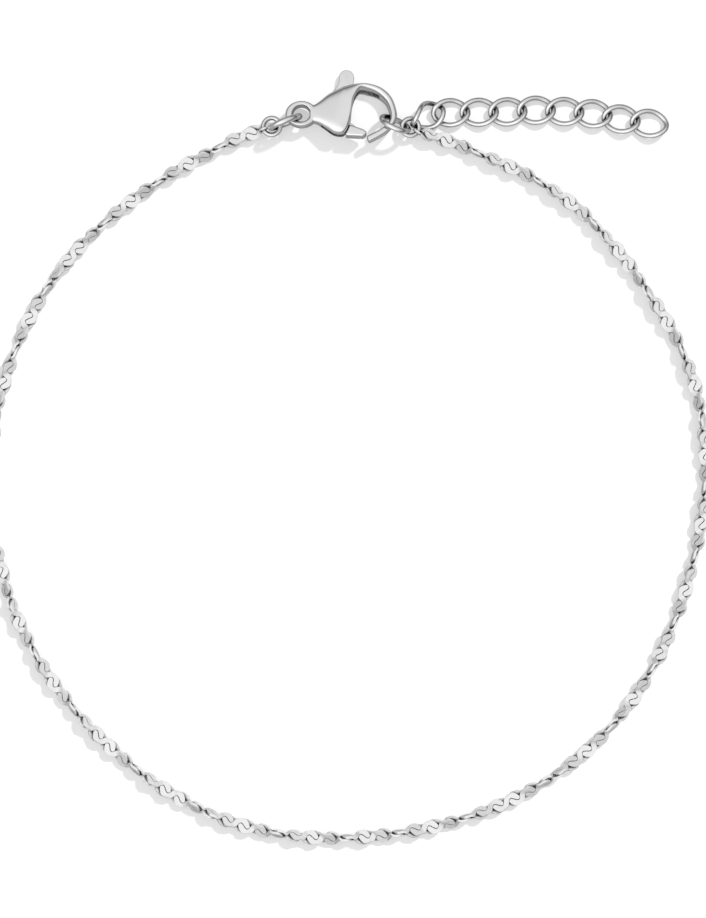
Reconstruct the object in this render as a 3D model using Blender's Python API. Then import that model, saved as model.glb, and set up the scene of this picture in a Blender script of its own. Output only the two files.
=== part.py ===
"""Chain anklet: a twisted serpentine chain, a lobster clasp and an extender.

The anklet lies closed on a surface. Lengths are in metres and +Z is up. Pieces are placed from
the middle of the chain's loop, and at the end the anklet's underside is centred on the origin.
"""
import math
from bisect import bisect_right

import bmesh
import bpy
from mathutils import Euler, Matrix, Vector

MM = 0.001

# Loop of chain, seen from above
LOOP_RADIUS = 36.36 * MM
CHAIN_HEIGHT = 0.80 * MM

# Where the lying chain leaves a true circle: (share of its length, distance outward)
CHAIN_ROUTE = (
    (0.010, 0.48 * MM),
    (0.034, 0.00 * MM),
    (0.062, -0.15 * MM),
    (0.142, 0.20 * MM),
    (0.290, 0.16 * MM),
    (0.355, -0.03 * MM),
    (0.441, 0.30 * MM),
    (0.523, -0.18 * MM),
    (0.624, 0.30 * MM),
    (0.719, -0.25 * MM),
    (0.811, 0.33 * MM),
    (0.870, -0.20 * MM),
    (0.919, 0.04 * MM),
    (0.967, -0.30 * MM),
)

# Serpentine links: S plates that nest two by two into round lobes
LOBE_RADIUS = 0.78 * MM
LOBE_PITCH = 1.765 * MM
PLATE_THICKNESS = 0.52 * MM
NECK_WIDTH = 0.46 * MM
NECK_HEADING = 50.0
TIP_PRESS = 0.09 * MM
TIP_THINNING = 0.78

# Half of an S plate, from its tip to its neck, as shares of LOBE_RADIUS and a heading in degrees
S_SECTIONS = (
    # along, across, half width, heading
    (-0.45, 0.17, 0.14, -105.0),
    (-0.41, -0.03, 0.35, -80.0),
    (-0.12, -0.50, 0.36, -40.0),
    (0.40, -0.67, 0.30, 5.0),
    (0.86, -0.36, 0.24, 45.0),
)

# Twist: lobes from the left end to the first place on edge, then from each such place to the next
FIRST_EDGE = 2.25
HALF_TURNS = (
    3.7, 4.4, 4.4, 4.3, 3.7, 3.6, 3.9, 3.4, 3.3, 4.4, 5.1, 4.2, 4.8, 3.5, 3.0,
    4.0, 5.7, 4.8, 3.5, 3.0, 4.0, 4.0, 4.5, 3.5, 4.5, 4.3, 4.2, 4.0, 4.0,
)
FLAT_SHARE = 0.24

# How much faster the chain turns at each place on edge than on average
EDGE_QUICKENING = 0.60

# Upright eye at each end of the chain
END_EYE_RADIUS = 0.41 * MM
END_EYE_WIRE = 0.26 * MM
END_EYE_OVERLAP = 0.12 * MM
END_EYE_SIDES = 10

# Rings
CHAIN_RING_OUTER = 2.22 * MM
CHAIN_RING_WIRE = 0.48 * MM
CLASP_RING_OUTER = 3.80 * MM
CLASP_RING_WIRE = 0.61 * MM
HOOK_RING_OUTER = 3.50 * MM
HOOK_RING_WIRE = 0.56 * MM
RING_SIDES = 14
WIRE_SIDES = 6

# Each ring hangs by one place on its wire, and may carry the next by another. The places are angles
# on the ring, the offset is from what carries it, and the turns are about X, Y and Z, in degrees.
RINGS = (
    # name, outer diameter, wire, carried by, offset, hangs at, carries at, turn
    ("clasp_jump_ring", CLASP_RING_OUTER, CLASP_RING_WIRE, "eye",
     Vector((-0.298 * MM, -0.266 * MM, 0.0)), 202.1, -37.9, (90.0, 0.0, 201.8)),
    ("chain_ring_left", CHAIN_RING_OUTER, CHAIN_RING_WIRE, "clasp_jump_ring",
     Vector((0.606 * MM, 0.455 * MM, 0.0)), 180.0, 0.0, (6.0, 0.0, 201.8)),
    ("hook_jump_ring", HOOK_RING_OUTER, HOOK_RING_WIRE, "hook",
     Vector((-0.694 * MM, 0.052 * MM, 0.283 * MM)), 180.0, 0.0, (111.5, 0.0, -25.5)),
    ("chain_ring_right", CHAIN_RING_OUTER, CHAIN_RING_WIRE, "hook_jump_ring",
     Vector((-0.610 * MM, 0.357 * MM, -0.488 * MM)), 180.0, 0.0, (6.1, 7.7, 0.0)),
)
LEFT_EYE_ANGLE = math.radians(198)
RIGHT_EYE_ANGLE = math.radians(-35.7)

# Extender of oval curb links, with the play that each link has in the next
LINK_COUNT = 9
LINK_LENGTH = 4.06 * MM
LINK_WIDTH = 3.02 * MM
LINK_WIRE = 0.51 * MM
LINK_PLAY = 0.13 * MM
LINK_PITCH = LINK_LENGTH - 2 * LINK_WIRE - LINK_PLAY
LINK_REACH = (LINK_LENGTH - LINK_WIRE) / 2
LINK_SIDES = 14

# Each link is twisted evenly, from an angle at its left end to this one at its right
LINK_TWIST = math.radians(29)
FIRST_LINK_TWIST = math.radians(93.3)
FIRST_LINK_TURN = (-10.6, 11.9, 29.4)

# Left end of the first link from the hook's ring, and of the second from the first's right end
FIRST_LINK_HOLD = Vector((0.453 * MM, 0.642 * MM, -0.364 * MM))
SECOND_LINK_HOLD = Vector((-0.889 * MM, -0.471 * MM, 0.030 * MM))

# Middle line of the lying links, from the second link's middle: (along, outward)
EXTENDER_ROUTE = (
    (0.00 * MM, 0.00 * MM),
    (5.72 * MM, 0.09 * MM),
    (8.65 * MM, 0.25 * MM),
    (14.29 * MM, -0.09 * MM),
    (17.20 * MM, -0.63 * MM),
    (21.20 * MM, -1.25 * MM),
)

# Clasp, measured from the middle of its eye; its shares are of CLASP_REACH
CLASP_REACH = 9.73 * MM
CLASP_FROM_TOP = Vector((-4.79 * MM, 1.05 * MM, 0.1336 * CLASP_REACH))
CLASP_TILT = 12.0
CLASP_SIDES = 12
CLASP_STEPS = 2
CLASP_SQUARENESS = 3.4
EYE_HOLE = 1.68 * MM
EYE_WALL_BACK = 0.80 * MM
EYE_WALL_SIDE = 0.52 * MM
EYE_THICKNESS = 1.20 * MM
EYE_SIDES = 16

# Where the hook carries its ring
HOOK_HOLD = (0.915, -0.040)

CLASP_SECTIONS = (
    # outer along, outer across, inner along, inner across, thickness
    (0.123, 0.108, 0.134, -0.085, 0.118),
    (0.287, 0.219, 0.226, -0.145, 0.185),
    (0.423, 0.285, 0.349, -0.220, 0.236),
    (0.473, 0.301, 0.436, -0.216, 0.240),
    (0.514, 0.316, 0.504, -0.075, 0.236),
    (0.560, 0.326, 0.534, 0.110, 0.226),
    (0.627, 0.335, 0.606, 0.238, 0.215),
    (0.719, 0.333, 0.703, 0.228, 0.195),
    (0.843, 0.288, 0.798, 0.186, 0.165),
    (0.946, 0.180, 0.879, 0.110, 0.139),
    (1.000, 0.015, 0.920, 0.005, 0.134),
    (0.981, -0.092, 0.910, -0.087, 0.128),
    (0.904, -0.195, 0.843, -0.146, 0.123),
    (0.812, -0.252, 0.761, -0.193, 0.118),
    (0.709, -0.298, 0.689, -0.231, 0.108),
)

# Slot between the clasp's two shells, and the lever in it
SLOT_WIDTH = 0.70 * MM
SLOT_OUTLINE = (
    (0.206, -0.340), (0.206, 0.400), (0.556, 0.400), (0.556, 0.296),
    (0.680, 0.303), (0.770, 0.282), (0.825, 0.222), (0.800, 0.110), (0.620, 0.080), (0.620, -0.340),
)
LEVER_PLATE = 0.50 * MM
GATE_THICKNESS = 1.30 * MM
PIVOT = (0.403, 0.215)
TAB_END = (0.471, 0.404)
TAB_WIDTH = 1.40 * MM
TAB_SIDES = 7
LEVER_OUTLINE = (
    (0.391, 0.344), (0.365, 0.293), (0.334, 0.242), (0.324, 0.195), (0.308, 0.103),
    (0.288, -0.031), (0.308, -0.134), (0.360, -0.178), (0.530, -0.190), (0.560, -0.125),
    (0.500, -0.085), (0.468, -0.031), (0.473, 0.082), (0.504, 0.185), (0.529, 0.267), (0.542, 0.329),
)
GATE_OUTLINE = ((0.514, -0.105), (0.650, -0.162), (0.688, -0.200), (0.640, -0.243), (0.466, -0.226))
PIN_DIAMETER = 0.50 * MM
PIN_SOCKET_DEPTH = 0.30 * MM
PIN_SIDES = 12
PIN_PRESS_GAP = 0.02 * MM
PIN_RUNNING_GAP = 0.06 * MM


def main():
    clear_objects()
    steel = metal("polished_steel", 0.12)
    anklet = empty("anklet", None, Matrix())
    clasp_frame = empty("clasp_frame", anklet, clasp_matrix())
    build_clasp(clasp_frame, steel)
    places, _ = ring_places()
    for name, outer, wire, *_ in RINGS:
        build_ring(name, outer, wire, places[name], anklet, steel)
    build_chain(anklet, steel)
    build_extender(anklet, steel)
    centre_on_floor(anklet)


def clear_objects():
    for item in list(bpy.data.objects):
        bpy.data.objects.remove(item, do_unlink=True)


def metal(name, roughness):
    material = bpy.data.materials.new(name)
    material.use_nodes = True
    shader = material.node_tree.nodes["Principled BSDF"]
    shader.inputs["Base Color"].default_value = (0.80, 0.80, 0.81, 1.0)
    shader.inputs["Metallic"].default_value = 1.0
    shader.inputs["Roughness"].default_value = roughness
    return material


def empty(name, parent, matrix):
    item = bpy.data.objects.new(name, None)
    bpy.context.scene.collection.objects.link(item)
    item.parent = parent
    item.matrix_local = matrix
    return item


def add_object(name, shape, parent, matrix, material, sharp=35):
    """Turn a bmesh into a named object with smooth faces and sharp real edges."""
    bmesh.ops.recalc_face_normals(shape, faces=shape.faces)
    mesh = bpy.data.meshes.new(name)
    shape.to_mesh(mesh)
    shape.free()
    mesh.shade_smooth()
    mesh.set_sharp_from_angle(angle=math.radians(sharp))
    mesh.materials.append(material)
    item = bpy.data.objects.new(name, mesh)
    bpy.context.scene.collection.objects.link(item)
    item.parent = parent
    item.matrix_local = matrix
    return item


def combine(target, other, operation):
    """Join or cut target with a helper object, which goes away again."""
    other.hide_render = True
    other.display_type = "WIRE"
    change = target.modifiers.new(operation.lower(), "BOOLEAN")
    change.operation = operation
    change.solver = "EXACT"
    change.object = other
    bpy.context.view_layer.update()
    result = bpy.data.meshes.new_from_object(target.evaluated_get(bpy.context.evaluated_depsgraph_get()))
    target.modifiers.clear()
    old = target.data
    target.data = result
    bpy.data.meshes.remove(old)
    bpy.data.objects.remove(other, do_unlink=True)


def bridge(shape, loops, closed):
    """Skin a row of vertex loops; an open row gets a cap at each end."""
    count = len(loops[0])
    pairs = list(zip(loops, loops[1:]))
    if closed:
        pairs.append((loops[-1], loops[0]))
    for first, second in pairs:
        for side in range(count):
            after = (side + 1) % count
            shape.faces.new((first[side], first[after], second[after], second[side]))
    if not closed:
        shape.faces.new(loops[0])
        shape.faces.new(reversed(loops[-1]))


def wire_loop(shape, points, ups, wire, sides):
    """Closed loop of round wire through points, with a direction kept up at each."""
    loops = []
    for index, point in enumerate(points):
        after = points[(index + 1) % len(points)]
        along = (after - points[index - 1]).normalized()
        across = along.cross(ups[index]).normalized()
        up = across.cross(along)
        loop = []
        for side in range(sides):
            angle = math.tau * (side + 0.5) / sides
            offset = across * math.cos(angle) + up * math.sin(angle)
            loop.append(shape.verts.new(point + offset * wire / 2))
        loops.append(loop)
    bridge(shape, loops, closed=True)


def circle_points(radius, sides):
    angles = [math.tau * index / sides for index in range(sides)]
    return [Vector((radius * math.cos(angle), radius * math.sin(angle), 0.0)) for angle in angles]


def build_ring(name, outer, wire, place, parent, material):
    """A ring in its own XY plane."""
    shape = bmesh.new()
    points = circle_points((outer - wire) / 2, RING_SIDES)
    wire_loop(shape, points, [Vector((0, 0, 1))] * RING_SIDES, wire, WIRE_SIDES)
    return add_object(name, shape, parent, place, material, sharp=70)


def placed(middle, turn):
    """Place of a middle point, with turns about X, Y and Z in degrees."""
    return Matrix.Translation(middle) @ Euler([math.radians(angle) for angle in turn]).to_matrix().to_4x4()


def clasp_matrix():
    """Place of the clasp's eye; the clasp lies with its gate side a little raised."""
    return placed(Vector((0.0, LOOP_RADIUS, 0.0)) + CLASP_FROM_TOP, (-CLASP_TILT, 0.0, 0.0))


def on_ring(radius, degrees):
    angle = math.radians(degrees)
    return Vector((radius * math.cos(angle), radius * math.sin(angle), 0.0))


def ring_places():
    """Where each ring lies, and the points that carry something."""
    carriers = {"eye": clasp_matrix() @ Vector(), "hook": clasp_matrix() @ clasp_spot(HOOK_HOLD)}
    places = {}
    for name, outer, wire, carrier, offset, hangs, carries, turn in RINGS:
        radius = (outer - wire) / 2
        held = placed(carriers[carrier] + offset, turn)
        places[name] = held @ Matrix.Translation(-on_ring(radius, hangs))
        carriers[name] = places[name] @ on_ring(radius, carries)
    return places, carriers


def eye_on_ring(place, angle):
    """Middle of the chain ring's wire, in the level direction given by an angle."""
    level = place.to_3x3().inverted() @ Vector((math.cos(angle), math.sin(angle), 0.0))
    level.z = 0.0
    radius = (CHAIN_RING_OUTER - CHAIN_RING_WIRE) / 2
    return place @ (level.normalized() * radius)


def smooth(share):
    share = min(max(share, 0.0), 1.0)
    return share * share * (3 - 2 * share)


def blend_stations(stations, share):
    """Value at a share of the way, eased between (share, value) stations."""
    index = bisect_right([station[0] for station in stations], share) - 1
    index = min(max(index, 0), len(stations) - 2)
    (low, first), (high, second) = stations[index], stations[index + 1]
    return first + (second - first) * smooth((share - low) / (high - low))


class Chain:
    """The chain's middle line, its lobes and its twist."""

    def __init__(self, start, end):
        ends = [math.hypot(point.x, point.y) - LOOP_RADIUS for point in (start, end)]
        self.outward = [(0.0, ends[0]), *CHAIN_ROUTE, (1.0, ends[1])]
        self.heights = [(0.0, start.z), (0.03, CHAIN_HEIGHT), (0.97, CHAIN_HEIGHT), (1.0, end.z)]
        self.first_angle = math.atan2(start.y, start.x)
        self.turn = math.atan2(end.y, end.x) + math.tau - self.first_angle
        self.length = self.turn * LOOP_RADIUS
        self.first_lobe = END_EYE_RADIUS + END_EYE_WIRE / 2 - END_EYE_OVERLAP + LOBE_PITCH / 2
        span = self.length - 2 * self.first_lobe
        self.lobes = round(span / LOBE_PITCH) + 1
        self.pitch = span / (self.lobes - 1)
        self.edges = [FIRST_EDGE]
        while self.edges[-1] < self.lobes:
            self.edges.append(self.edges[-1] + HALF_TURNS[(len(self.edges) - 1) % len(HALF_TURNS)])

    def point(self, distance):
        share = distance / self.length
        angle = self.first_angle + self.turn * share
        radius = LOOP_RADIUS + blend_stations(self.outward, share)
        height = blend_stations(self.heights, share)
        return Vector((radius * math.cos(angle), radius * math.sin(angle), height))

    def lobe_twist(self, lobe):
        """Turn of one lobe about the chain; half a turn from each place on edge to the next."""
        index = min(max(bisect_right(self.edges, lobe) - 1, 0), len(self.edges) - 2)
        low, high = self.edges[index], self.edges[index + 1]
        share = (lobe - low) / (high - low)
        quick = EDGE_QUICKENING * math.sin(math.tau * share) / math.tau
        return math.pi * (0.5 + index + share + quick)

    def twist(self, distance):
        """Each lobe is flat, and the chain turns in the necks between lobes."""
        position = (distance - self.first_lobe) / self.pitch
        lobe = math.floor(position)
        between = smooth((position - lobe - FLAT_SHARE) / (1 - 2 * FLAT_SHARE))
        low, high = self.lobe_twist(lobe), self.lobe_twist(lobe + 1)
        return low + (high - low) * between

    def place(self, distance, across, height):
        """A point given along the chain, across its plates and through them."""
        step = 0.1 * MM
        middle = self.point(distance)
        along = (self.point(distance + step) - self.point(distance - step)).normalized()
        side = Vector((-along.y, along.x, 0.0)).normalized()
        up = along.cross(side)
        twist = self.twist(distance)
        wide = side * math.cos(twist) + up * math.sin(twist)
        thick = up * math.cos(twist) - side * math.sin(twist)
        return middle + wide * across + thick * height


def plate_sections(chain, lobe):
    """Sections of one S plate: distance, across, half width, heading and half thickness."""
    half = PLATE_THICKNESS / 2
    start = chain.first_lobe + lobe * chain.pitch
    size = LOBE_RADIUS
    sections = []
    for along, across, width, heading in S_SECTIONS:
        sections.append((start + along * size, across * size, width * size, heading, half))
    sections.append((start + chain.pitch / 2, 0.0, NECK_WIDTH / 2, NECK_HEADING, half))
    for along, across, width, heading in reversed(S_SECTIONS):
        end = start + chain.pitch
        sections.append((end - along * size, -across * size, width * size, heading, half))
    distance, across, width, heading, half = sections[-1]
    press = math.radians(heading)
    sections[-1] = (
        distance + TIP_PRESS * math.cos(press), across + TIP_PRESS * math.sin(press),
        width, heading, half * TIP_THINNING,
    )
    return sections


def add_plate(shape, chain, sections):
    loops = []
    for distance, across, width, heading, half in sections:
        turn = math.radians(heading)
        side_along, side_across = -math.sin(turn) * width, math.cos(turn) * width
        corners = ((1, 1), (-1, 1), (-1, -1), (1, -1))
        loop = []
        for side, face in corners:
            spot = chain.place(distance + side * side_along, across + side * side_across, face * half)
            loop.append(shape.verts.new(spot))
        loops.append(loop)
    bridge(shape, loops, closed=False)


def add_end_eye(shape, centre, angle):
    """Upright eye round a chain ring's wire."""
    level = Vector((math.cos(angle), math.sin(angle), 0.0))
    points = []
    for index in range(END_EYE_SIDES):
        turn = math.tau * (index + 0.5) / END_EYE_SIDES
        points.append(centre + (level * math.cos(turn) + Vector((0, 0, 1)) * math.sin(turn)) * END_EYE_RADIUS)
    side = Vector((-level.y, level.x, 0.0))
    wire_loop(shape, points, [side] * END_EYE_SIDES, END_EYE_WIRE, WIRE_SIDES)


def build_chain(parent, material):
    """The whole serpentine chain as one body: every second plate, joined to the others at their tips."""
    places, _ = ring_places()
    start = eye_on_ring(places["chain_ring_left"], LEFT_EYE_ANGLE)
    end = eye_on_ring(places["chain_ring_right"], RIGHT_EYE_ANGLE)
    chain = Chain(start, end)
    neck = len(S_SECTIONS)
    shapes = [bmesh.new(), bmesh.new()]
    for lobe in range(-1, chain.lobes):
        sections = plate_sections(chain, lobe)
        if lobe == -1:
            sections = sections[neck:]
        elif lobe == chain.lobes - 1:
            sections = sections[:neck + 1]
        add_plate(shapes[lobe % 2], chain, sections)
    body = add_object("serpentine_chain", shapes[0], parent, Matrix(), material)
    others = add_object("other_plates", shapes[1], parent, Matrix(), material)
    combine(body, others, "UNION")
    eyes = bmesh.new()
    add_end_eye(eyes, start, LEFT_EYE_ANGLE)
    add_end_eye(eyes, end, RIGHT_EYE_ANGLE)
    combine(body, add_object("end_eyes", eyes, parent, Matrix(), material), "UNION")
    return body


def curve_between(rows, steps):
    """Rows of numbers with smooth rows added between them."""
    result = []
    last = len(rows) - 1
    for index in range(last):
        around = [rows[max(index - 1, 0)], rows[index], rows[index + 1], rows[min(index + 2, last)]]
        for step in range(steps):
            share = step / steps
            result.append([
                0.5 * (2 * b + (c - a) * share + (2 * a - 5 * b + 4 * c - d) * share ** 2
                       + (3 * b - a - 3 * c + d) * share ** 3)
                for a, b, c, d in zip(*around)
            ])
    result.append(list(rows[last]))
    return result


def rounded_section(shape, outer, inner, thickness, sides):
    """A domed cross-section between an outer and an inner edge point."""
    middle = (outer + inner) / 2
    reach = (outer - inner) / 2
    loop = []
    for side in range(sides):
        angle = math.tau * (side + 0.5) / sides
        cosine, sine = math.cos(angle), math.sin(angle)
        across = math.copysign(abs(cosine) ** (2 / CLASP_SQUARENESS), cosine)
        height = math.copysign(abs(sine) ** (2 / CLASP_SQUARENESS), sine)
        loop.append(shape.verts.new(middle + reach * across + Vector((0, 0, height * thickness / 2))))
    return loop


def clasp_spot(share):
    return Vector((share[0] * CLASP_REACH, share[1] * CLASP_REACH, 0.0))


def flat_plate(outline, thickness):
    """A level plate of an outline, half above and half below."""
    shape = bmesh.new()
    low = [shape.verts.new(spot - Vector((0, 0, thickness / 2))) for spot in outline]
    high = [shape.verts.new(spot + Vector((0, 0, thickness / 2))) for spot in outline]
    bridge(shape, [low, high], closed=False)
    return shape


def upright_pin(centre, diameter, length, sides):
    outline = [centre + spot for spot in circle_points(diameter / 2, sides)]
    return flat_plate(outline, length)


def build_clasp(frame, material):
    """Clasp body with its eye and hook, the lever and its pin."""
    shape = bmesh.new()
    loops = []
    for row in curve_between(CLASP_SECTIONS, CLASP_STEPS):
        outer, inner = clasp_spot(row[0:2]), clasp_spot(row[2:4])
        loops.append(rounded_section(shape, outer, inner, row[4] * CLASP_REACH, CLASP_SIDES))
    bridge(shape, loops, closed=False)
    body = add_object("clasp_body", shape, frame, Matrix(), material, sharp=50)
    combine(body, build_eye(frame, material), "UNION")
    slot = flat_plate([clasp_spot(spot) for spot in SLOT_OUTLINE], SLOT_WIDTH)
    combine(body, add_object("slot", slot, frame, Matrix(), material), "DIFFERENCE")
    pivot = clasp_spot(PIVOT)
    pin_length = SLOT_WIDTH + 2 * PIN_SOCKET_DEPTH
    socket = upright_pin(pivot, PIN_DIAMETER + 2 * PIN_PRESS_GAP, pin_length, PIN_SIDES)
    combine(body, add_object("socket", socket, frame, Matrix(), material), "DIFFERENCE")
    anklet = frame.parent
    reach = 3 * CLASP_REACH
    corners = [(-reach, -reach), (reach, -reach), (reach, reach), (-reach, reach)]
    under = flat_plate([Vector((x, y, 0.0)) for x, y in corners], reach)
    below = Matrix.Translation((0.0, LOOP_RADIUS, -reach / 2))
    combine(body, add_object("under", under, anklet, below, material), "DIFFERENCE")
    pin = upright_pin(Vector(), PIN_DIAMETER, pin_length - 2 * PIN_PRESS_GAP, PIN_SIDES)
    hinge = empty("lever_hinge", frame, Matrix.Translation(pivot))
    add_object("clasp_pin", pin, hinge, Matrix(), material)
    build_lever(hinge, pivot, material)


def build_eye(frame, material):
    shape = bmesh.new()
    loops = []
    hole = EYE_HOLE / 2
    for index in range(EYE_SIDES):
        angle = math.tau * index / EYE_SIDES
        direction = Vector((math.cos(angle), math.sin(angle), 0.0))
        outer = Vector(((hole + EYE_WALL_BACK) * direction.x, (hole + EYE_WALL_SIDE) * direction.y, 0.0))
        loops.append(rounded_section(shape, outer, direction * hole, EYE_THICKNESS, CLASP_SIDES))
    bridge(shape, loops, closed=True)
    return add_object("eye", shape, frame, Matrix(), material)


def build_lever(hinge, pivot, material):
    """Lever with its thumb tab above the pivot and its gate below, measured from the pivot."""
    tab = clasp_spot(TAB_END) - pivot
    outline = []
    for index in range(TAB_SIDES):
        angle = math.pi * index / (TAB_SIDES - 1)
        outline.append(tab + Vector((math.cos(angle), math.sin(angle), 0.0)) * TAB_WIDTH / 2)
    outline += [clasp_spot(spot) - pivot for spot in LEVER_OUTLINE]
    lever = add_object("clasp_lever", flat_plate(outline, LEVER_PLATE), hinge, Matrix(), material)
    gate = flat_plate([clasp_spot(spot) - pivot for spot in GATE_OUTLINE], GATE_THICKNESS)
    combine(lever, add_object("gate", gate, hinge, Matrix(), material), "UNION")
    bore = upright_pin(Vector(), PIN_DIAMETER + 2 * PIN_RUNNING_GAP, 2 * GATE_THICKNESS, PIN_SIDES)
    combine(lever, add_object("bore", bore, hinge, Matrix(), material), "DIFFERENCE")


def link_shape(left_twist):
    """An oval curb link, twisted along its length so that it passes over and under its neighbours."""
    shape = bmesh.new()
    half_width = (LINK_WIDTH - LINK_WIRE) / 2
    points = []
    ups = []
    for index in range(LINK_SIDES):
        angle = math.tau * (index + 0.5) / LINK_SIDES
        along = LINK_REACH * math.cos(angle)
        across = half_width * math.sin(angle)
        share = (1 + math.cos(angle)) / 2
        twist = left_twist - (left_twist + LINK_TWIST) * share
        points.append(Vector((along, across * math.cos(twist), across * math.sin(twist))))
        ups.append(Vector((0.0, -math.sin(twist), math.cos(twist))))
    wire_loop(shape, points, ups, LINK_WIRE, WIRE_SIDES)
    return shape


def first_link_place():
    """The first link hangs by its left end."""
    _, carriers = ring_places()
    held = placed(carriers["hook_jump_ring"] + FIRST_LINK_HOLD, FIRST_LINK_TURN)
    return held @ Matrix.Translation((LINK_REACH, 0.0, 0.0))


def extender_spots():
    """Middle of each lying link, one pitch apart along the extender's route."""
    end = first_link_place() @ Vector((LINK_REACH, 0.0, 0.0))
    start = end + SECOND_LINK_HOLD + Vector((LINK_REACH, 0.0, 0.0))
    rows = curve_between([tuple(start + Vector((x, y, 0.0))) for x, y in EXTENDER_ROUTE], 12)
    fine = [Vector(row) for row in rows]
    spots = [fine[0]]
    for before, after in zip(fine, fine[1:]):
        if (after - spots[-1]).length >= LINK_PITCH and len(spots) < LINK_COUNT - 1:
            reach = (after - spots[-1]).length - LINK_PITCH
            spots.append(after + (before - after).normalized() * reach)
    while len(spots) < LINK_COUNT - 1:
        spots.append(spots[-1] + (spots[-1] - spots[-2]).normalized() * LINK_PITCH)
    return spots


def build_extender(parent, material):
    first = first_link_place()
    add_object("extender_link_1", link_shape(FIRST_LINK_TWIST), parent, first, material, sharp=70)
    spots = extender_spots()
    for index, spot in enumerate(spots):
        before = spots[max(index - 1, 0)]
        after = spots[min(index + 1, len(spots) - 1)]
        yaw = math.atan2(after.y - before.y, after.x - before.x)
        place = Matrix.Translation(spot) @ Matrix.Rotation(yaw, 4, "Z")
        add_object("extender_link_" + str(index + 2), link_shape(LINK_TWIST), parent, place, material, sharp=70)


def centre_on_floor(anklet):
    """Move the anklet so that the middle of its box's underside is the origin."""
    bpy.context.view_layer.update()
    corners = []
    for item in bpy.data.objects:
        if item.type == "MESH":
            corners += [item.matrix_world @ vertex.co for vertex in item.data.vertices]
    low = [min(corner[axis] for corner in corners) for axis in range(3)]
    high = [max(corner[axis] for corner in corners) for axis in range(3)]
    anklet.location = (-(low[0] + high[0]) / 2, -(low[1] + high[1]) / 2, -low[2])
    bpy.context.view_layer.update()


main()
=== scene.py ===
"""Visual model of the chain anklet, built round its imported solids.

Lengths are in metres and +Z is up. Places are given from the middle of the chain's loop and moved
by FRAME_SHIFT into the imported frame.
"""
import math
from bisect import bisect_right

import bmesh
import bpy
from mathutils import Euler, Matrix, Vector


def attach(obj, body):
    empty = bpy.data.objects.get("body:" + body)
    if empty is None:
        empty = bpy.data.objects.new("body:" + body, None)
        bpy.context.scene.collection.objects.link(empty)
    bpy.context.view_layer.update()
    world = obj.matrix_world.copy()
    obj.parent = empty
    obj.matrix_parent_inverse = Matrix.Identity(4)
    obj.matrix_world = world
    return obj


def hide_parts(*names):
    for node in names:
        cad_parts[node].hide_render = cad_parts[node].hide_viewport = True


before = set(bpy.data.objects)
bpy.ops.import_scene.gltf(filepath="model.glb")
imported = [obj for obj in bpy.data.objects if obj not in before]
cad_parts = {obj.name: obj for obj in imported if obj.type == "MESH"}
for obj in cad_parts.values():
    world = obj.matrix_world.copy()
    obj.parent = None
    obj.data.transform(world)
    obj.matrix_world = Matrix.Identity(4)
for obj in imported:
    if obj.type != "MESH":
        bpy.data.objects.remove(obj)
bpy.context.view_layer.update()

MM = 0.001
FRAME_SHIFT = Vector((0.02713 * MM, -2.43546 * MM, 0.0))

# Middle line of the chain: share of its length, and how far it runs outside the loop's circle there
LOOP_RADIUS = 36.36 * MM
CHAIN_ROUTE = (
    (0.010, 0.48 * MM),
    (0.034, 0.00 * MM),
    (0.062, -0.15 * MM),
    (0.142, 0.20 * MM),
    (0.290, 0.16 * MM),
    (0.355, -0.03 * MM),
    (0.441, 0.30 * MM),
    (0.523, -0.18 * MM),
    (0.624, 0.30 * MM),
    (0.719, -0.25 * MM),
    (0.811, 0.33 * MM),
    (0.870, -0.20 * MM),
    (0.919, 0.04 * MM),
    (0.967, -0.30 * MM),
)

# Height of the middle line, and the share of its length in which it comes down from a ring to it
CHAIN_HEIGHT = 0.80 * MM
END_SHARE = 0.03

# Twist: the lobe at which the chain first stands on edge, and the lobes from there to each next
# place on edge. It turns a little faster on edge than flat, and not at all near a lobe's middle.
LOBE_PITCH = 1.765 * MM
FIRST_EDGE = 2.25
HALF_TURNS = (
    3.7, 4.4, 4.4, 4.3, 3.7, 3.6, 3.9, 3.4, 3.3, 4.4, 5.1, 4.2, 4.8, 3.5, 3.0,
    4.0, 5.7, 4.8, 3.5, 3.0, 4.0, 4.0, 4.5, 3.5, 4.5, 4.3, 4.2, 4.0, 4.0,
)
EDGE_QUICKENING = 0.10
FLAT_SHARE = 0.27

# S plates in two layers
LAYER_HEIGHT = 0.135 * MM
PLATE_THICKNESS = 0.25 * MM
EDGE_ROUNDING = 0.022 * MM

# Half of an S plate, from its tip to its neck, in millimetres from the middle of its lobe
PLATE_SECTIONS = (
    # groove edge along, groove edge across, rim edge along, rim edge across
    (-0.585, -0.045, -0.575, -0.125),
    (-0.555, 0.065, -0.475, -0.305),
    (-0.480, 0.150, -0.340, -0.480),
    (-0.371, 0.190, -0.215, -0.620),
    (-0.250, 0.160, -0.085, -0.705),
    (-0.125, 0.060, 0.070, -0.728),
    (0.000, -0.045, 0.220, -0.715),
    (0.125, -0.150, 0.360, -0.690),
    (0.250, -0.228, 0.490, -0.655),
    (0.371, -0.252, 0.620, -0.610),
    (0.485, -0.195, 0.760, -0.545),
    (0.585, -0.045, 0.890, -0.450),
)

# The plate's neck lies halfway between two lobes; its edge from there, in millimetres
NECK_EDGE = (-0.190, 0.205)

# Upright eye at each end of the chain, sunk a little into the last lobe
END_EYE_RADIUS = 0.41 * MM
END_EYE_WIRE = 0.26 * MM
END_EYE_OVERLAP = 0.12 * MM

CHAIN_RING_OUTER = 2.22 * MM
CHAIN_RING_WIRE = 0.48 * MM
CLASP_RING_OUTER = 3.80 * MM
CLASP_RING_WIRE = 0.61 * MM
HOOK_RING_OUTER = 3.50 * MM
HOOK_RING_WIRE = 0.56 * MM

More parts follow.
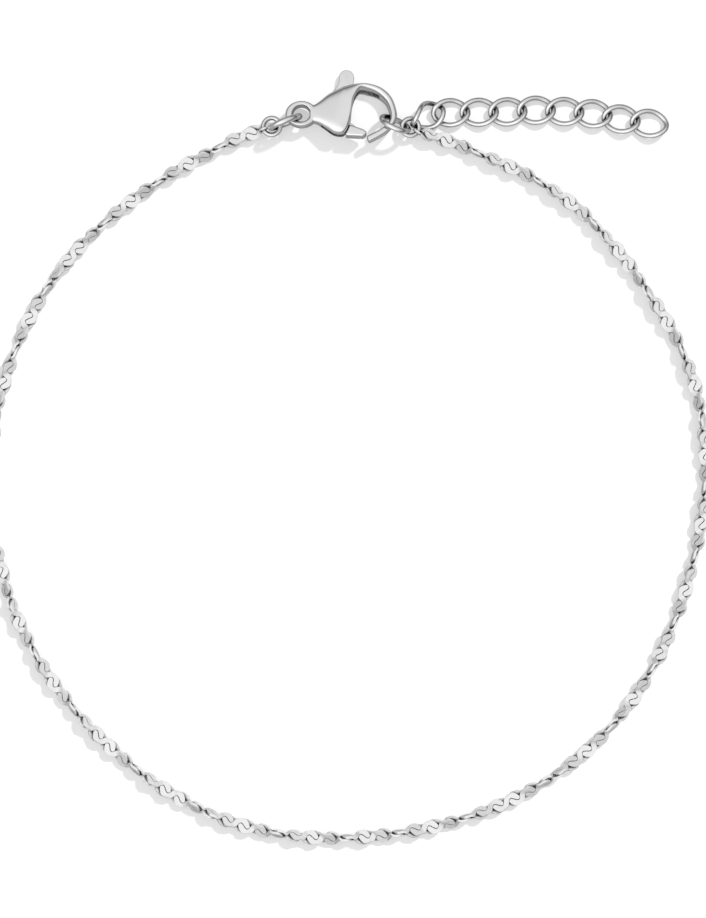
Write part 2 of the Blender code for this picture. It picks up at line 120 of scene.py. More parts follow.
# Each ring hangs by one place on its wire, and may carry the next by another. The places are angles
# on the ring, the offset is from what carries it, and the turns are about X, Y and Z, in degrees.
# The seam is the angle at which the wire's ends meet, where that shows.
RINGS = (
    # name, outer diameter, wire, carried by,
    #  offset, hangs at, carries at, turns, seam
    ("clasp_jump_ring", CLASP_RING_OUTER, CLASP_RING_WIRE, "eye",
     Vector((-0.298 * MM, -0.266 * MM, 0.0)), 202.1, -37.9, (90.0, 0.0, 201.8), None),
    ("chain_ring_left", CHAIN_RING_OUTER, CHAIN_RING_WIRE, "clasp_jump_ring",
     Vector((0.606 * MM, 0.455 * MM, 0.0)), 180.0, 0.0, (6.0, 0.0, 201.8), None),
    ("hook_jump_ring", HOOK_RING_OUTER, HOOK_RING_WIRE, "hook",
     Vector((-0.694 * MM, 0.052 * MM, 0.283 * MM)), 180.0, 0.0, (111.5, 0.0, -25.5), None),
    ("chain_ring_right", CHAIN_RING_OUTER, CHAIN_RING_WIRE, "hook_jump_ring",
     Vector((-0.610 * MM, 0.357 * MM, -0.488 * MM)), 180.0, 0.0, (6.1, 7.7, 0.0), 300.0),
)
SEAM_WIRE_SHARE = 0.86

# Where the chain's end eyes hang on their rings, as seen from above
LEFT_EYE_ANGLE = math.radians(198)
RIGHT_EYE_ANGLE = math.radians(-35.7)

# Extender of oval curb links, with the play that each link has in the next
LINK_COUNT = 9
LINK_LENGTH = 4.06 * MM
LINK_WIDTH = 3.02 * MM
LINK_WIRE = 0.51 * MM
LINK_PLAY = 0.13 * MM
LINK_PITCH = LINK_LENGTH - 2 * LINK_WIRE - LINK_PLAY
LINK_REACH = (LINK_LENGTH - LINK_WIRE) / 2

# Each link is twisted evenly, from an angle at its left end to this one at its right
LINK_TWIST = math.radians(29)
FIRST_LINK_TWIST = math.radians(93.3)
FIRST_LINK_TURN = (-10.6, 11.9, 29.4)

# Left end of the first link from the hook's ring, and of the second from the first's right end
FIRST_LINK_HOLD = Vector((0.453 * MM, 0.642 * MM, -0.364 * MM))
SECOND_LINK_HOLD = Vector((-0.889 * MM, -0.471 * MM, 0.030 * MM))

# Middle line of the lying links, from the second link's middle: (along, outward)
EXTENDER_ROUTE = (
    (0.00 * MM, 0.00 * MM),
    (5.72 * MM, 0.09 * MM),
    (8.65 * MM, 0.25 * MM),
    (14.29 * MM, -0.09 * MM),
    (17.20 * MM, -0.63 * MM),
    (21.20 * MM, -1.25 * MM),
)

# Clasp, measured from the middle of its eye; its shares are of CLASP_REACH. The eye's place is from
# the top of the loop's circle, and the clasp is tilted about its length, in degrees.
CLASP_REACH = 9.73 * MM
CLASP_FROM_TOP = Vector((-4.79 * MM, 1.05 * MM, 0.1336 * CLASP_REACH))
CLASP_TILT = 12.0
EYE_SQUARENESS = 3.4
EYE_HOLE = 1.68 * MM
EYE_WALL_BACK = 0.80 * MM
EYE_WALL_SIDE = 0.52 * MM
EYE_THICKNESS = 1.20 * MM

# Where the hook carries its ring
HOOK_HOLD = (0.915, -0.040)

# Domed body and hook, from the eye round to the hook's tip
CLASP_SECTIONS = (
    # outer along, outer across, inner along, inner across, thickness, lower lip, squareness
    (0.096, 0.112, 0.096, -0.108, 0.126, 0.000, 4.2),
    (0.128, 0.098, 0.130, -0.090, 0.133, 0.000, 4.2),
    (0.190, 0.135, 0.180, -0.108, 0.155, 0.000, 4.2),
    (0.287, 0.214, 0.248, -0.154, 0.190, 0.000, 4.2),
    (0.423, 0.285, 0.349, -0.220, 0.236, 0.000, 4.2),
    (0.473, 0.301, 0.454, -0.214, 0.240, 0.000, 4.2),
    (0.514, 0.314, 0.510, -0.085, 0.236, 0.000, 4.0),
    (0.560, 0.322, 0.536, 0.115, 0.226, 0.004, 3.4),
    (0.627, 0.327, 0.604, 0.258, 0.215, 0.030, 2.8),
    (0.719, 0.323, 0.704, 0.260, 0.195, 0.050, 2.6),
    (0.843, 0.282, 0.806, 0.216, 0.165, 0.042, 2.5),
    (0.946, 0.180, 0.890, 0.124, 0.139, 0.024, 2.5),
    (1.000, 0.015, 0.924, 0.005, 0.134, 0.008, 2.5),
    (0.981, -0.092, 0.910, -0.087, 0.128, 0.000, 2.6),
    (0.904, -0.195, 0.843, -0.150, 0.123, 0.000, 2.8),
    (0.812, -0.256, 0.761, -0.199, 0.118, 0.000, 3.0),
    (0.724, -0.300, 0.700, -0.232, 0.112, 0.000, 3.2),
    (0.705, -0.301, 0.688, -0.241, 0.104, 0.000, 2.8),
    (0.695, -0.290, 0.685, -0.254, 0.070, 0.000, 2.4),
)

# Slot between the clasp's two shells
SLOT_WIDTH = 0.70 * MM
SLOT_OUTLINE = (
    (0.206, -0.340), (0.206, 0.400), (0.556, 0.400), (0.556, 0.296), (0.680, 0.303),
    (0.770, 0.282), (0.825, 0.222), (0.800, 0.110), (0.620, 0.080), (0.620, -0.340),
)

# Lever in the slot: a round thumb tab, a hub that turns on the pivot, and a thicker gate
PIVOT = (0.403, 0.215)
TAB_END = (0.471, 0.404)
TAB_WIDTH = 1.52 * MM
LEVER_PLATE = 0.50 * MM
LEVER_ROUNDING = 0.14 * MM
LEVER_OUTLINE = (
    (0.391, 0.344), (0.365, 0.293), (0.334, 0.242), (0.324, 0.195), (0.308, 0.103),
    (0.288, -0.031), (0.308, -0.134), (0.360, -0.178), (0.530, -0.190), (0.560, -0.125),
    (0.500, -0.085), (0.468, -0.031), (0.473, 0.082), (0.504, 0.185), (0.529, 0.267),
    (0.542, 0.329),
)
GATE_THICKNESS = 1.30 * MM
GATE_ROUNDING = 0.20 * MM
GATE_OUTLINE = (
    (0.505, -0.122), (0.652, -0.176), (0.690, -0.212), (0.648, -0.254), (0.456, -0.240),
)

# Fineness of the meshes: steps along a curve or round a ring, and sides of its wire or wall
PLATE_STEPS = 2
END_EYE_STEPS, END_EYE_SIDES = 40, 14
RING_STEPS, WIRE_SIDES = 96, 20
LINK_STEPS = 80
ROUTE_STEPS = 12
CLASP_STEPS, CLASP_SIDES = 6, 40
EYE_STEPS, EYE_SIDES = 64, 24
TAB_STEPS = 24
ROUNDING_STEPS = 5

# Edges that turn by more than this many degrees are rounded, or stay sharp in the shading
ROUNDED_FROM = 35
CHAIN_SHARP_FROM = 35
BODY_SHARP_FROM = 40
LEVER_SHARP_FROM = 50

# Metals, with painted shade: ambient occlusion darkens the colour in crevices, at crossings and
# where other surfaces are near.
# The painted shade keeps a share of the tone, its depth is how far off it looks for other surfaces,
# and the tone is full from the open share upwards.
METALS = (
    # name, tone, roughness from, roughness to, marks, share kept in painted shade, depth, open
    # share, metallic
    ("polished_steel_bright", 0.79, 0.06, 0.14, 0.15, 0.20, 0.35 * MM, 0.75, 1.00),
    ("polished_steel_wire", 0.75, 0.06, 0.14, 0.15, 0.04, 0.80 * MM, 0.95, 1.00),
    ("polished_steel_chain", 0.57, 0.06, 0.14, 0.20, 0.00, 0.34 * MM, 0.96, 0.33),
    ("clasp_inside", 0.62, 0.15, 0.40, 1.00, 0.60, 0.30 * MM, 0.75, 1.00),
)

# Clouds: noise values at which the roughness starts and ends, and what they do to the tone
CLOUD_SCALE, CLOUD_DETAIL = 900.0, 4.0
CLOUD_RANGE = (0.35, 0.70)
TONE_RANGE = (0.96, 1.03)

MARKS_SCALE, MARKS_DETAIL = 5200.0, 3.0
MARKS_HEIGHT = 0.01 * MM

# Open share at which the painted shade is darkest
DARKEST_PAINTED_SHADE_AT = 0.25

# Table: its tones are for the eye and in reflections
TABLE_HALF_SIDE = 8.0
TABLE_PAINT = (0.40, 0.15)
TABLE_GLOW = (1.00, 0.45)
TABLE_GLOW_STRENGTH = 0.44
TABLE_ROUGHNESS = 0.9

# Light: directions are degrees round from +X and up from the table. The fill grows from its edge,
# the cosine of the angle off its middle.
KEY_FROM = (49.0, 46.0)
KEY_STRENGTH = 3.6
KEY_SPREAD = 5.0
FILL_FROM = (229.0, 32.0)
FILL_EDGE = 0.30
FILL_STRENGTH = 0.60

# Tent: height, as the sine of the angle up, and tone
TENT_TONES = ((0.00, 0.08), (0.16, 0.14), (0.42, 0.42), (0.70, 0.82), (0.90, 0.94), (1.00, 0.90))

# Camera above the loop, and the height of the picture on the table
CAMERA_AT = Vector((0.487 * MM, -0.092 * MM, 351 * MM))
CAMERA_FRAME = 93.85 * MM
FILM_WIDTH = 36.0
CLIP_START = 0.01


def circle_point(angle):
    return Vector((math.cos(angle), math.sin(angle), 0.0))


def placed(middle, turn):
    """Place of a middle point, with turns about X, Y and Z in degrees."""
    angles = [math.radians(angle) for angle in turn]
    return Matrix.Translation(middle) @ Euler(angles).to_matrix().to_4x4()


def clasp_spot(share):
    return Vector((share[0] * CLASP_REACH, share[1] * CLASP_REACH, 0.0))


def clasp_matrix():
    top = Vector((0.0, LOOP_RADIUS, 0.0)) + FRAME_SHIFT
    return placed(top + CLASP_FROM_TOP, (-CLASP_TILT, 0.0, 0.0))


def on_ring(radius, degrees):
    angle = math.radians(degrees)
    return Vector((radius * math.cos(angle), radius * math.sin(angle), 0.0))


def ring_places():
    """Where each ring lies, and the points that carry something."""
    clasp = clasp_matrix()
    carriers = {"eye": clasp @ Vector(), "hook": clasp @ clasp_spot(HOOK_HOLD)}
    places = {}
    for name, outer, wire, carrier, offset, hangs, carries, turn, _ in RINGS:
        radius = (outer - wire) / 2
        held = placed(carriers[carrier] + offset, turn)
        places[name] = held @ Matrix.Translation(-on_ring(radius, hangs))
        carriers[name] = places[name] @ on_ring(radius, carries)
    return places, carriers


def new_object(name, shape, place, material):
    bmesh.ops.recalc_face_normals(shape, faces=shape.faces)
    mesh = bpy.data.meshes.new(name)
    shape.transform(place)
    shape.to_mesh(mesh)
    shape.free()
    mesh.materials.append(material)
    mesh.shade_smooth()
    item = bpy.data.objects.new(name, mesh)
    bpy.context.scene.collection.objects.link(item)
    return item


def stand_for(item, node, body="anklet"):
    """Let a piece replace a node and move with its body."""
    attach(item, body)
    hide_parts(node)


def apply_modifiers(item):
    bpy.context.view_layer.update()
    evaluated = item.evaluated_get(bpy.context.evaluated_depsgraph_get())
    result = bpy.data.meshes.new_from_object(evaluated)
    item.modifiers.clear()
    old = item.data
    item.data = result
    bpy.data.meshes.remove(old)


def combine(target, other, operation):
    change = target.modifiers.new(operation.lower(), "BOOLEAN")
    change.operation = operation
    change.solver = "EXACT"
    change.material_mode = "TRANSFER"
    change.object = other
    apply_modifiers(target)
    bpy.data.objects.remove(other, do_unlink=True)


def soften(item, width):
    """Round the sharp edges a little."""
    change = item.modifiers.new("edges", "BEVEL")
    change.width = width
    change.segments = ROUNDING_STEPS
    change.limit_method = "ANGLE"
    change.angle_limit = math.radians(ROUNDED_FROM)
    change.harden_normals = False
    apply_modifiers(item)
    item.data.shade_smooth()


def bridge(shape, loops, closed):
    """Skin over a row of loops, joined end to end or capped."""
    count = len(loops[0])
    pairs = list(zip(loops, loops[1:]))
    if closed:
        pairs.append((loops[-1], loops[0]))
    for first, second in pairs:
        for side in range(count):
            after = (side + 1) % count
            shape.faces.new((first[side], first[after], second[after], second[side]))
    if not closed:
        shape.faces.new(loops[0])
        shape.faces.new(reversed(loops[-1]))


def wire_loop(shape, points, ups, wire, sides):
    """Closed round wire through points, each with the direction that is up there."""
    loops = []
    for index, point in enumerate(points):
        after = points[(index + 1) % len(points)]
        along = (after - points[index - 1]).normalized()
        across = along.cross(ups[index]).normalized()
        up = across.cross(along)
        loop = []
        for side in range(sides):
            angle = math.tau * (side + 0.5) / sides
            offset = across * math.cos(angle) + up * math.sin(angle)
            loop.append(shape.verts.new(point + offset * wire / 2))
        loops.append(loop)
    bridge(shape, loops, closed=True)


def curve_between(rows, steps):
    """Rows on the smooth curve through the given rows, column by column."""
    result = []
    last = len(rows) - 1
    for index in range(last):
        around = [rows[max(index - 1, 0)], rows[index], rows[index + 1], rows[min(index + 2, last)]]
        for step in range(steps):
            share = step / steps
            result.append([
                0.5 * (2 * b + (c - a) * share + (2 * a - 5 * b + 4 * c - d) * share ** 2
                       + (3 * b - a - 3 * c + d) * share ** 3)
                for a, b, c, d in zip(*around)
            ])
    result.append(list(rows[last]))
    return result


def smooth(share):
    share = min(max(share, 0.0), 1.0)
    return share * share * (3 - 2 * share)


def blend_stations(stations, share):
    """Value at a share, eased from one (share, value) station to the next."""
    index = bisect_right([station[0] for station in stations], share) - 1
    index = min(max(index, 0), len(stations) - 2)
    (low, first), (high, second) = stations[index], stations[index + 1]
    return first + (second - first) * smooth((share - low) / (high - low))


class Chain:
    """The chain's middle line, its lobes and its twist."""

    def __init__(self, start, end):
        ends = [math.hypot(point.x, point.y) - LOOP_RADIUS for point in (start, end)]
        self.outward = [(0.0, ends[0]), *CHAIN_ROUTE, (1.0, ends[1])]
        self.heights = [
            (0.0, start.z), (END_SHARE, CHAIN_HEIGHT), (1 - END_SHARE, CHAIN_HEIGHT), (1.0, end.z),
        ]
        self.first_angle = math.atan2(start.y, start.x)
        self.turn = math.atan2(end.y, end.x) + math.tau - self.first_angle
        self.length = self.turn * LOOP_RADIUS
        eye_reach = END_EYE_RADIUS + END_EYE_WIRE / 2 - END_EYE_OVERLAP
        self.first_lobe = eye_reach + LOBE_PITCH / 2
        span = self.length - 2 * self.first_lobe
        self.lobes = round(span / LOBE_PITCH) + 1
        self.pitch = span / (self.lobes - 1)
        self.edges = [FIRST_EDGE]
        while self.edges[-1] < self.lobes:
            half_turn = HALF_TURNS[(len(self.edges) - 1) % len(HALF_TURNS)]
            self.edges.append(self.edges[-1] + half_turn)

    def point(self, distance):
        share = distance / self.length
        angle = self.first_angle + self.turn * share
        radius = LOOP_RADIUS + blend_stations(self.outward, share)
        height = blend_stations(self.heights, share)
        return Vector((radius * math.cos(angle), radius * math.sin(angle), height))

    def lobe_twist(self, lobe):
        index = min(max(bisect_right(self.edges, lobe) - 1, 0), len(self.edges) - 2)
        low, high = self.edges[index], self.edges[index + 1]
        share = (lobe - low) / (high - low)
        quick = EDGE_QUICKENING * math.sin(math.tau * share) / math.tau
        return math.pi * (0.5 + index + share + quick)

    def twist(self, distance):
        position = (distance - self.first_lobe) / self.pitch
        lobe = math.floor(position)
        between = smooth((position - lobe - FLAT_SHARE) / (1 - 2 * FLAT_SHARE))
        low, high = self.lobe_twist(lobe), self.lobe_twist(lobe + 1)
        return low + (high - low) * between

    def place(self, distance, across, height):
        """Point beside and above the middle line, in the twisted plane of the plates."""
        step = 0.1 * MM
        middle = self.point(distance)
        along = (self.point(distance + step) - self.point(distance - step)).normalized()
        side = Vector((-along.y, along.x, 0.0)).normalized()
        up = along.cross(side)
        twist = self.twist(distance)
        wide = side * math.cos(twist) + up * math.sin(twist)
        thick = up * math.cos(twist) - side * math.sin(twist)
        return middle + wide * across + thick * height


def plate_rows():
    """Sections of an S plate from lobe to lobe, each with its two edges."""
    rows = list(PLATE_SECTIONS)
    pitch = LOBE_PITCH / MM
    along, across = NECK_EDGE
    rows.append((pitch / 2 + along, across, pitch / 2 - along, -across))
    for first_along, first_across, second_along, second_across in reversed(PLATE_SECTIONS):
        rows.append((pitch - second_along, -second_across, pitch - first_along, -first_across))
    return rows


def add_plate(shape, chain, lobe, rows, layer):
    """S plate with rounded edges; layer is 1, or -1 for the same turned half round the chain."""
    start = chain.first_lobe + lobe * chain.pitch
    half = PLATE_THICKNESS / 2
    loops = []
    for row in curve_between(rows, PLATE_STEPS):
        first = Vector((row[0], row[1], 0.0)) * MM
        second = Vector((row[2], row[3], 0.0)) * MM
        inset = (second - first).normalized() * min(EDGE_ROUNDING, (second - first).length / 3)
        profile = (
            (first + inset, half), (second - inset, half),
            (second, half - EDGE_ROUNDING), (second, EDGE_ROUNDING - half),
            (second - inset, -half), (first + inset, -half),
            (first, EDGE_ROUNDING - half), (first, half - EDGE_ROUNDING),
        )
        loop = []
        for spot, face in profile:
            height = (face + LAYER_HEIGHT) * layer
            place = chain.place(start + spot.x, spot.y * layer, height)
            loop.append(shape.verts.new(place + FRAME_SHIFT))
        loops.append(loop)
    bridge(shape, loops, closed=False)


def eye_on_ring(place, angle):
    """Where a chain ring carries the chain, seen at an angle from above."""
    level = place.to_3x3().inverted() @ circle_point(angle)
    level.z = 0.0
    radius = (CHAIN_RING_OUTER - CHAIN_RING_WIRE) / 2
    return place @ (level.normalized() * radius) - FRAME_SHIFT


def add_end_eye(shape, centre, angle):
    level = circle_point(angle)
    points = []
    for index in range(END_EYE_STEPS):
        turn = math.tau * index / END_EYE_STEPS
        spoke = level * math.cos(turn) + Vector((0, 0, 1)) * math.sin(turn)
        points.append(centre + spoke * END_EYE_RADIUS + FRAME_SHIFT)
    side = Vector((-level.y, level.x, 0.0))
    wire_loop(shape, points, [side] * END_EYE_STEPS, END_EYE_WIRE, END_EYE_SIDES)


def build_chain(material):
    places, _ = ring_places()
    start = eye_on_ring(places["chain_ring_left"], LEFT_EYE_ANGLE)
    end = eye_on_ring(places["chain_ring_right"], RIGHT_EYE_ANGLE)
    chain = Chain(start, end)
    rows = plate_rows()
    neck = len(PLATE_SECTIONS)
    shape = bmesh.new()
    for lobe in range(-1, chain.lobes):
        part = rows
        if lobe == -1:
            part = rows[neck:]
        elif lobe == chain.lobes - 1:
            part = rows[:neck + 1]
        for layer in (1, -1):
            add_plate(shape, chain, lobe, part, layer)
    add_end_eye(shape, start, LEFT_EYE_ANGLE)
    add_end_eye(shape, end, RIGHT_EYE_ANGLE)
    item = new_object("serpentine_links", shape, Matrix(), material)
    item.data.set_sharp_from_angle(angle=math.radians(CHAIN_SHARP_FROM))
    stand_for(item, "serpentine_chain")


def ring_shape(outer, wire, seam):
    """Ring of round wire, with a fine seam where its ends meet if that shows."""
    shape = bmesh.new()
    radius = (outer - wire) / 2
    seam_step = None if seam is None else round(seam / 360 * RING_STEPS)
    loops = []
    for index in range(RING_STEPS):
        out = circle_point(math.tau * index / RING_STEPS)
        thinned = SEAM_WIRE_SHARE if index == seam_step else 1.0
        loop = []
        for side in range(WIRE_SIDES):
            turn = math.tau * side / WIRE_SIDES
            offset = out * math.cos(turn) + Vector((0, 0, 1)) * math.sin(turn)
            loop.append(shape.verts.new(out * radius + offset * wire / 2 * thinned))
        loops.append(loop)
    bridge(shape, loops, closed=True)
    return shape


def build_rings(material):
    places, _ = ring_places()
    for name, outer, wire, *_, seam in RINGS:
        shape = ring_shape(outer, wire, seam)
        stand_for(new_object(name + "_wire", shape, places[name], material), name)


def link_shape(left_twist):
    """Oval link, twisted about its length."""
    shape = bmesh.new()
    half_width = (LINK_WIDTH - LINK_WIRE) / 2
    points = []
    ups = []
    for index in range(LINK_STEPS):
        angle = math.tau * index / LINK_STEPS
        along = LINK_REACH * math.cos(angle)
        across = half_width * math.sin(angle)
        share = (1 + math.cos(angle)) / 2
        twist = left_twist - (left_twist + LINK_TWIST) * share
        points.append(Vector((along, across * math.cos(twist), across * math.sin(twist))))
        ups.append(Vector((0.0, -math.sin(twist), math.cos(twist))))
    wire_loop(shape, points, ups, LINK_WIRE, WIRE_SIDES)
    return shape


def first_link_place():
    """The first link hangs by its left end."""
    _, carriers = ring_places()
    held = placed(carriers["hook_jump_ring"] + FIRST_LINK_HOLD, FIRST_LINK_TURN)
    return held @ Matrix.Translation((LINK_REACH, 0.0, 0.0))


def extender_spots():
    """Middle of each lying link, one pitch apart along the extender's route."""
    end = first_link_place() @ Vector((LINK_REACH, 0.0, 0.0))
    start = end + SECOND_LINK_HOLD + Vector((LINK_REACH, 0.0, 0.0))
    route = [tuple(start + Vector((x, y, 0.0))) for x, y in EXTENDER_ROUTE]
    fine = [Vector(row) for row in curve_between(route, ROUTE_STEPS)]
    spots = [fine[0]]
    for before, after in zip(fine, fine[1:]):
        if (after - spots[-1]).length >= LINK_PITCH and len(spots) < LINK_COUNT - 1:
            reach = (after - spots[-1]).length - LINK_PITCH
            spots.append(after + (before - after).normalized() * reach)
    while len(spots) < LINK_COUNT - 1:
        spots.append(spots[-1] + (spots[-1] - spots[-2]).normalized() * LINK_PITCH)
    return spots


def build_extender(material):
    places = [first_link_place()]
    spots = extender_spots()
    for index, spot in enumerate(spots):
        before = spots[max(index - 1, 0)]
        after = spots[min(index + 1, len(spots) - 1)]
        yaw = math.atan2(after.y - before.y, after.x - before.x)
        places.append(Matrix.Translation(spot) @ Matrix.Rotation(yaw, 4, "Z"))
    for number, place in enumerate(places, start=1):
        twist = FIRST_LINK_TWIST if number == 1 else LINK_TWIST
        link = new_object("curb_link_" + str(number), link_shape(twist), place, material)
        stand_for(link, "extender_link_" + str(number))


def rounded_section(shape, outer, inner, thickness, sides, squareness, lip=0.0):
    """A domed cross-section; its inner side may reach further in below, by a lip."""
    middle = (outer + inner) / 2
    reach = (outer - inner) / 2
    inward = (inner - outer).normalized() * lip
    loop = []
    for side in range(sides):
        angle = math.tau * (side + 0.5) / sides
        cosine, sine = math.cos(angle), math.sin(angle)
        across = math.copysign(abs(cosine) ** (2 / squareness), cosine)
        height = math.copysign(abs(sine) ** (2 / squareness), sine)
        spot = middle + reach * across + Vector((0, 0, height * thickness / 2))
        loop.append(shape.verts.new(spot + inward * (1 - height) / 2 * (1 - across) / 2))
    return loop


def flat_plate(outline, thickness):
    shape = bmesh.new()
    low = [shape.verts.new(spot - Vector((0, 0, thickness / 2))) for spot in outline]
    high = [shape.verts.new(spot + Vector((0, 0, thickness / 2))) for spot in outline]
    bridge(shape, [low, high], closed=False)
    return shape


def clasp_shell_shape():
    shape = bmesh.new()
    loops = []
    for row in curve_between(CLASP_SECTIONS, CLASP_STEPS):
        outer, inner = clasp_spot(row[0:2]), clasp_spot(row[2:4])
        thickness, lip = row[4] * CLASP_REACH, row[5] * CLASP_REACH
        loops.append(
            rounded_section(shape, outer, inner, thickness, CLASP_SIDES, row[6], lip))
    bridge(shape, loops, closed=False)
    return shape


def clasp_eye_shape():
    """Oval eye round a round hole, thickest at its back."""
    shape = bmesh.new()
    hole = EYE_HOLE / 2
    loops = []
    for index in range(EYE_STEPS):
        out = circle_point(math.tau * index / EYE_STEPS)
        outer = Vector(((hole + EYE_WALL_BACK) * out.x, (hole + EYE_WALL_SIDE) * out.y, 0.0))
        loops.append(
            rounded_section(shape, outer, out * hole, EYE_THICKNESS, EYE_SIDES, EYE_SQUARENESS))
    bridge(shape, loops, closed=True)
    return shape


def build_clasp_body(material, eye_material, inner_material):
    """Shell and eye in one, with the lever's slot, cut off flat where the clasp rests."""
    place = clasp_matrix()
    body = new_object("clasp_shell", clasp_shell_shape(), place, material)
    combine(body, new_object("eye", clasp_eye_shape(), place, eye_material), "UNION")
    slot = flat_plate([clasp_spot(spot) for spot in SLOT_OUTLINE], SLOT_WIDTH)
    combine(body, new_object("slot", slot, place, inner_material), "DIFFERENCE")
    reach = 3 * CLASP_REACH
    corners = [(-reach, -reach), (reach, -reach), (reach, reach), (-reach, reach)]
    under = flat_plate([Vector((x, y, 0.0)) for x, y in corners], reach)
    below = Matrix.Translation((0.0, LOOP_RADIUS, -reach / 2))
    combine(body, new_object("under", under, below, material), "DIFFERENCE")
    body.data.shade_smooth()
    body.data.set_sharp_from_angle(angle=math.radians(BODY_SHARP_FROM))
    stand_for(body, "clasp_body")


def build_clasp_lever(material):
    pivot = clasp_spot(PIVOT)
    hinge = clasp_matrix() @ Matrix.Translation(pivot)
    tab = clasp_spot(TAB_END) - pivot
    outline = []
    for index in range(TAB_STEPS + 1):
        outline.append(tab + circle_point(math.pi * index / TAB_STEPS) * TAB_WIDTH / 2)
    outline += [clasp_spot(spot) - pivot for spot in LEVER_OUTLINE]
    lever = new_object("thumb_lever", flat_plate(outline, LEVER_PLATE), hinge, material)
    gate_shape = flat_plate([clasp_spot(spot) - pivot for spot in GATE_OUTLINE], GATE_THICKNESS)
    gate = new_object("gate", gate_shape, hinge, material)
    soften(gate, GATE_ROUNDING)
    combine(lever, gate, "UNION")
    soften(lever, LEVER_ROUNDING)
    lever.data.set_sharp_from_angle(angle=math.radians(LEVER_SHARP_FROM))
    stand_for(lever, "clasp_lever", "lever")


def grey(tone):
    return (tone, tone, tone, 1.0)


def set_inputs(tree, node, inputs):
    """Give each named input its value, or link it from another node's output."""
    for name, value in inputs.items():
        if isinstance(value, bpy.types.NodeSocket):
            tree.links.new(value, node.inputs[name])
        else:
            node.inputs[name].default_value = value


def add_node(tree, kind, inputs):
    node = tree.nodes.new(kind)
    set_inputs(tree, node, inputs)
    return node


def add_math(tree, operation, first, second):
    node = tree.nodes.new("ShaderNodeMath")
    node.operation = operation
    set_inputs(tree, node, {0: first, 1: second})
    return node.outputs["Value"]


def steel(name, tone, smoothest, roughest, bump, painted_shade_keeps, depth, open_share, metallic):
    """Polished metal, slightly cloudy in places, with faint handling marks and painted shade in its
    crevices.
    """
    material = bpy.data.materials.new(name)
    material.use_nodes = True
    tree = material.node_tree
    where = add_node(tree, "ShaderNodeTexCoord", {}).outputs["Object"]
    cloud = add_node(tree, "ShaderNodeTexNoise", {
        "Vector": where, "Scale": CLOUD_SCALE, "Detail": CLOUD_DETAIL,
    }).outputs["Fac"]
    roughness = add_node(tree, "ShaderNodeMapRange", {
        "Value": cloud, "From Min": CLOUD_RANGE[0], "From Max": CLOUD_RANGE[1],
        "To Min": smoothest, "To Max": roughest,
    })
    shade = add_node(tree, "ShaderNodeMapRange", {
        "Value": cloud, "To Min": tone * TONE_RANGE[0], "To Max": tone * TONE_RANGE[1],
    })
    # Painted shade: ambient occlusion darkens the base colour in crevices, at crossings and near
    # other surfaces
    open_air = add_node(tree, "ShaderNodeAmbientOcclusion", {"Distance": depth})
    painted_shade_map = add_node(tree, "ShaderNodeMapRange", {
        "Value": open_air.outputs["AO"], "From Min": DARKEST_PAINTED_SHADE_AT, "From Max": open_share,
        "To Min": painted_shade_keeps,
    })
    tone_under_painted_shade = add_math(tree, "MULTIPLY", shade.outputs["Result"], painted_shade_map.outputs["Result"])
    colour = add_node(tree, "ShaderNodeCombineColor", {
        "Red": tone_under_painted_shade, "Green": tone_under_painted_shade, "Blue": tone_under_painted_shade,
    })
    marks = add_node(tree, "ShaderNodeTexNoise", {
        "Vector": where, "Scale": MARKS_SCALE, "Detail": MARKS_DETAIL,
    })
    raised = add_node(tree, "ShaderNodeBump", {
        "Height": marks.outputs["Fac"], "Strength": bump, "Distance": MARKS_HEIGHT,
    })
    set_inputs(tree, tree.nodes["Principled BSDF"], {
        "Metallic": metallic,
        "Roughness": roughness.outputs["Result"],
        "Base Color": colour.outputs["Color"],
        "Normal": raised.outputs["Normal"],
    })
    return material


def build_table():
    """White table that glows a little and is darker in reflections."""
    white = bpy.data.materials.new("white_table")
    white.use_nodes = True
    tree = white.node_tree
    rays = add_node(tree, "ShaderNodeLightPath", {})
    tones = []
    for seen, reflected in (TABLE_PAINT, TABLE_GLOW):
        tone = tree.nodes.new("ShaderNodeMix")
        tone.data_type = "RGBA"
        set_inputs(tree, tone, {
            "Factor": rays.outputs["Is Glossy Ray"], "A": grey(seen), "B": grey(reflected),
        })
        tones.append(tone.outputs["Result"])
    set_inputs(tree, tree.nodes["Principled BSDF"], {
        "Roughness": TABLE_ROUGHNESS,
        "Specular IOR Level": 0.0,
        "Base Color": tones[0],
        "Emission Color": tones[1],
        "Emission Strength": TABLE_GLOW_STRENGTH,
    })
    shape = bmesh.new()
    corners = [(x * TABLE_HALF_SIDE, y * TABLE_HALF_SIDE, 0.0)
               for x, y in ((-1, -1), (1, -1), (1, 1), (-1, 1))]
    shape.faces.new([shape.verts.new(corner) for corner in corners])
    new_object("table", shape, Matrix(), white)


def from_sky(around, rise):
    """Direction of a place in the sky."""
    around, rise = math.radians(around), math.radians(rise)
    level = math.cos(rise)
    return Vector((math.cos(around) * level, math.sin(around) * level, math.sin(rise)))


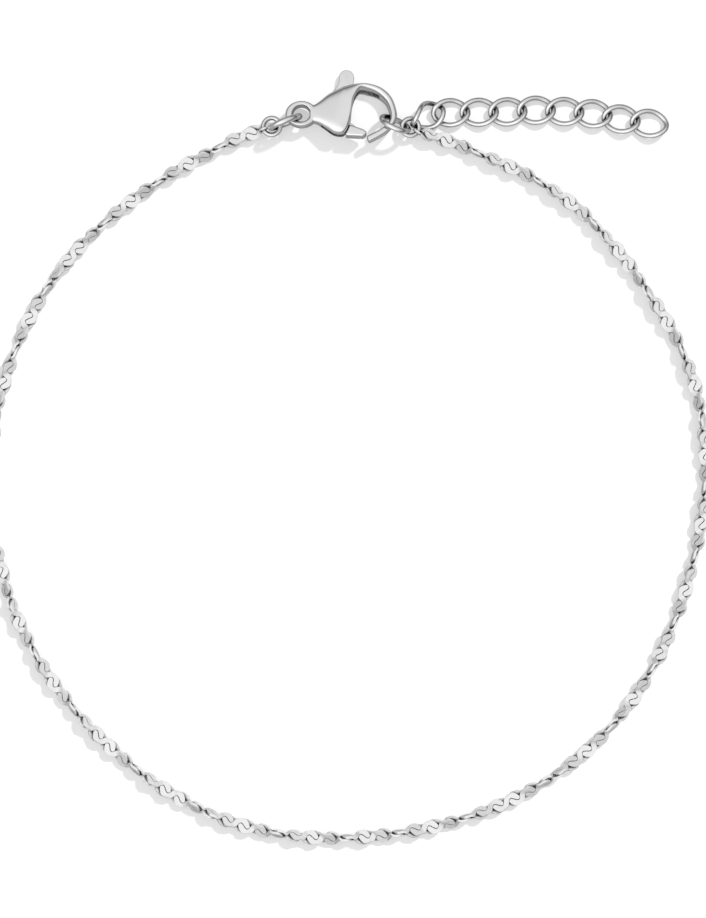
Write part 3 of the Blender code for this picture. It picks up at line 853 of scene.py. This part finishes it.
def build_key_light():
    """One soft light from the upper right, not seen in reflections."""
    lamp = bpy.data.lights.new("key", "SUN")
    lamp.energy = KEY_STRENGTH
    lamp.angle = math.radians(KEY_SPREAD)
    key = bpy.data.objects.new("key", lamp)
    key.visible_glossy = False
    key.rotation_euler = from_sky(*KEY_FROM).to_track_quat("Z", "Y").to_euler()
    bpy.context.scene.collection.objects.link(key)


def build_tent():
    """Sky with a darker rim, brighter towards one side."""
    world = bpy.data.worlds.new("tent")
    bpy.context.scene.world = world
    world.use_nodes = True
    tree = world.node_tree
    where = add_node(tree, "ShaderNodeTexCoord", {}).outputs["Generated"]
    split = add_node(tree, "ShaderNodeSeparateXYZ", {"Vector": where})
    ramp = add_node(tree, "ShaderNodeValToRGB", {"Fac": split.outputs["Z"]})
    elements = ramp.color_ramp.elements
    elements[0].position = TENT_TONES[0][0]
    elements[1].position = TENT_TONES[-1][0]
    for height, _ in TENT_TONES[1:-1]:
        elements.new(height)
    for element, (_, tone) in zip(elements, TENT_TONES):
        element.color = grey(tone)
    toward = tree.nodes.new("ShaderNodeVectorMath")
    toward.operation = "DOT_PRODUCT"
    set_inputs(tree, toward, {0: where, 1: from_sky(*FILL_FROM)})
    fill = tree.nodes.new("ShaderNodeMapRange")
    fill.interpolation_type = "SMOOTHSTEP"
    set_inputs(tree, fill, {
        "Value": toward.outputs["Value"], "From Min": FILL_EDGE, "To Max": FILL_STRENGTH,
    })
    light = add_math(tree, "ADD", ramp.outputs["Color"], fill.outputs["Result"])
    set_inputs(tree, tree.nodes["Background"], {"Color": light, "Strength": 1.0})


def build_camera():
    lens = bpy.data.cameras.new("camera")
    lens.sensor_width = FILM_WIDTH
    lens.lens = FILM_WIDTH * CAMERA_AT.z / CAMERA_FRAME
    lens.clip_start = CLIP_START
    camera = bpy.data.objects.new("camera", lens)
    camera.location = CAMERA_AT
    bpy.context.scene.collection.objects.link(camera)
    bpy.context.scene.camera = camera


bpy.context.scene.view_settings.view_transform = "Standard"
polished, wire_metal, chain_metal, inside = (steel(*metal) for metal in METALS)
build_chain(chain_metal)
build_rings(wire_metal)
build_extender(wire_metal)
build_clasp_body(polished, wire_metal, inside)
build_clasp_lever(polished)

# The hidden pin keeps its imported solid
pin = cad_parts["clasp_pin"]
pin.data.materials.clear()
pin.data.materials.append(polished)

build_table()
build_key_light()
build_tent()
build_camera()
